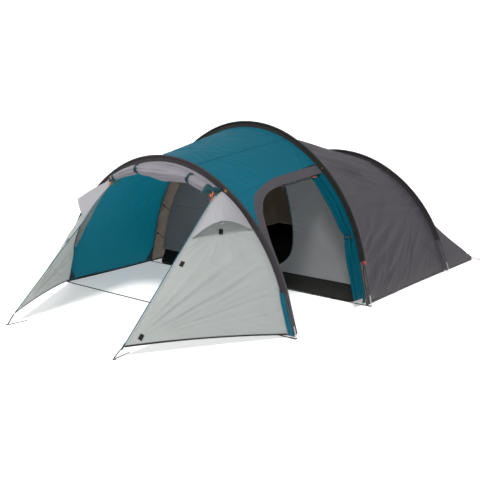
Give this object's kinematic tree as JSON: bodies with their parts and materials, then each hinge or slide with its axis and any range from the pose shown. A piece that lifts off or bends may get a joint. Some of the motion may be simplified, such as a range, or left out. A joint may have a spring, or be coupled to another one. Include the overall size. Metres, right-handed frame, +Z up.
{
  "type": "tunnel tent",
  "caption": "Tunnel tent on curved poles with a winged front porch, rolled front and side doors, and a separate bedroom with a bathtub floor.",
  "frame": {"origin": "on the ground at the centre of the footprint, pegs included", "axes": "+Z up, front doorway faces -Y, side doorway on +X, bedroom towards +Y"},
  "size_m": [2.7122, 4.5521, 1.4993],
  "materials": {
    "pole_fibreglass": "pultruded fibreglass",
    "steel_zinc": "zinc plated",
    "elastic_black": "braided elastic",
    "sleeve_dark": "woven polyester",
    "brass": "plain",
    "webbing_black": "woven webbing",
    "plastic_black": "moulded",
    "fabric_teal": "coated polyester",
    "fabric_rim_grey": "coated polyester, gathered",
    "fabric_dark_grey": "coated polyester",
    "fabric_light_grey": "coated polyester",
    "mesh_black": "fine mesh",
    "velcro_black": "hook and loop",
    "zinc_slider": "painted zinc",
    "puller_orange": "braided cord",
    "zip_dark": "coil zip tape",
    "tie_teal": "flat tape",
    "inner_grey": "breathable polyester",
    "groundsheet": "coated polyethylene"
  },
  "bodies": {
    "tent": {"base_strap_buckles": "plastic_black", "bathtub_floor": "groundsheet", "corner_peg_loops": "webbing_black", "front_base_strap": "webbing_black", "front_door_ties": "tie_teal", "front_foot_pins": "steel_zinc", "front_leg_gussets": "fabric_teal", "front_pole_sections": "pole_fibreglass", "front_pole_sleeve": "sleeve_dark", "front_wing_left": "fabric_light_grey", "front_wing_right": "fabric_light_grey", "front_zip_left": "zip_dark", "front_zip_right": "zip_dark", "guy_eyelets": "brass", "inner_canopy": "inner_grey", "inner_door_roll": "inner_grey", "inner_door_zip": "zip_dark", "inner_front_wall": "inner_grey", "inner_hangers": "elastic_black", "middle_base_strap": "webbing_black", "middle_foot_pins": "steel_zinc", "middle_pole_sections": "pole_fibreglass", "middle_pole_sleeve": "sleeve_dark", "pole_ferrules": "steel_zinc", "pole_shock_cords": "elastic_black", "rear_end_panel": "fabric_dark_grey", "rear_fly": "fabric_dark_grey", "rear_foot_pins": "steel_zinc", "rear_pole_sections": "pole_fibreglass", "rear_pole_sleeve": "sleeve_dark", "rolled_front_door": "fabric_light_grey", "rolled_side_door": "fabric_teal", "side_door_rim": "fabric_rim_grey", "side_door_tie": "tie_teal", "side_door_zip": "zip_dark", "toggle_studs": "elastic_black", "vent_hood_left": "fabric_light_grey", "vent_hood_right": "fabric_light_grey", "vent_mesh_left": "mesh_black", "vent_mesh_right": "mesh_black", "vestibule_fly": "fabric_teal", "wing_hem_bindings": "webbing_black", "wing_velcro_tabs": "velcro_black"},
    "front_door_toggle_left": {"front_door_toggle_left": "plastic_black"},
    "front_door_toggle_right": {"front_door_toggle_right": "plastic_black"},
    "front_zip_puller_left": {"front_zip_puller_left": "puller_orange"},
    "front_zip_puller_right": {"front_zip_puller_right": "puller_orange"},
    "front_zip_slider_left": {"front_zip_slider_left": "zinc_slider"},
    "front_zip_slider_right": {"front_zip_slider_right": "zinc_slider"},
    "inner_zip_puller": {"inner_zip_puller": "puller_orange"},
    "inner_zip_slider": {"inner_zip_slider": "zinc_slider"},
    "peg_front_left": {"peg_front_left": "steel_zinc"},
    "peg_front_right": {"peg_front_right": "steel_zinc"},
    "peg_rear_left": {"peg_rear_left": "steel_zinc"},
    "peg_rear_right": {"peg_rear_right": "steel_zinc"},
    "side_door_toggle": {"side_door_toggle": "plastic_black"},
    "side_door_zip_puller": {"side_door_zip_puller": "puller_orange"},
    "side_door_zip_slider": {"side_door_zip_slider": "zinc_slider"},
    "vent_prop_left": {"vent_prop_left": "plastic_black"},
    "vent_prop_right": {"vent_prop_right": "plastic_black"}
  },
  "joints": [
    {"name": "vent_prop_fold_right", "type": "hinge", "parent": "tent", "child": "vent_prop_right", "pos_m": [0.74196, -1.27621, 0.82165], "axis": [0.6686, 0.7359, 0.1064], "range_deg": [0, 48]},
    {"name": "front_zip_slide_right", "type": "slide", "parent": "tent", "child": "front_zip_slider_right", "axis": [0.0338, -0.7377, -0.6743], "range_m": [0, 1.33]},
    {"name": "front_zip_pull_right", "type": "hinge", "parent": "front_zip_slider_right", "child": "front_zip_puller_right", "pos_m": [0.57513, -1.17755, 1.00158], "axis": [0.6698, 0.5175, -0.5325], "range_deg": [-110, 0]},
    {"name": "vent_prop_fold_left", "type": "hinge", "parent": "tent", "child": "vent_prop_left", "pos_m": [-0.74196, -1.27621, 0.82165], "axis": [-0.6686, 0.7359, 0.1064], "range_deg": [-48, 0]},
    {"name": "front_zip_slide_left", "type": "slide", "parent": "tent", "child": "front_zip_slider_left", "axis": [-0.0338, -0.7377, -0.6743], "range_m": [0, 1.33]},
    {"name": "front_zip_pull_left", "type": "hinge", "parent": "front_zip_slider_left", "child": "front_zip_puller_left", "pos_m": [-0.57513, -1.17755, 1.00158], "axis": [0.6698, -0.5175, 0.5325], "range_deg": [-110, 0]},
    {"name": "side_door_zip_slide", "type": "slide", "parent": "tent", "child": "side_door_zip_slider", "axis": [-0.1088, -0.9888, -0.1023], "range_m": [0, 0.42]},
    {"name": "side_door_zip_pull", "type": "hinge", "parent": "side_door_zip_slider", "child": "side_door_zip_puller", "pos_m": [0.80484, -0.10276, 1.07037], "axis": [0.7376, -0.0113, -0.6752], "range_deg": [-110, 0]},
    {"name": "inner_door_zip_slide", "type": "slide", "parent": "tent", "child": "inner_zip_slider", "axis": [1, 0, 0], "range_m": [0, 0.32]},
    {"name": "inner_door_zip_pull", "type": "hinge", "parent": "inner_zip_slider", "child": "inner_zip_puller", "pos_m": [-0.168, 0.0163, 0.17], "axis": [0, 0, 1], "range_deg": [-110, 0]},
    {"name": "front_door_toggle_turn_left", "type": "hinge", "parent": "tent", "child": "front_door_toggle_left", "pos_m": [-0.24, -1.2268, 1.14765], "axis": [0, 1, 0], "range_deg": [-90, 90]},
    {"name": "front_door_toggle_turn_right", "type": "hinge", "parent": "tent", "child": "front_door_toggle_right", "pos_m": [0.335, -1.2298, 1.11964], "axis": [0, 1, 0], "range_deg": [-90, 90]},
    {"name": "side_door_toggle_turn", "type": "hinge", "parent": "tent", "child": "side_door_toggle", "pos_m": [1.13599, -0.05766, 0.58589], "axis": [0.9435, 0, 0.3313], "range_deg": [-90, 90]},
    {"name": "peg_swivel_front_right", "type": "hinge", "parent": "tent", "child": "peg_front_right", "pos_m": [0.6, -2.2652, 0.0025], "axis": [0, 0, 1], "range_deg": [-15, 15]},
    {"name": "peg_swivel_front_left", "type": "hinge", "parent": "tent", "child": "peg_front_left", "pos_m": [-0.6, -2.2652, 0.0025], "axis": [0, 0, 1], "range_deg": [-15, 15]},
    {"name": "peg_swivel_rear_right", "type": "hinge", "parent": "tent", "child": "peg_rear_right", "pos_m": [1.344, 2.2568, 0.0025], "axis": [0, 0, 1], "range_deg": [-15, 15]},
    {"name": "peg_swivel_rear_left", "type": "hinge", "parent": "tent", "child": "peg_rear_left", "pos_m": [-1.344, 2.2568, 0.0025], "axis": [0, 0, 1], "range_deg": [-15, 15]}
  ]
}
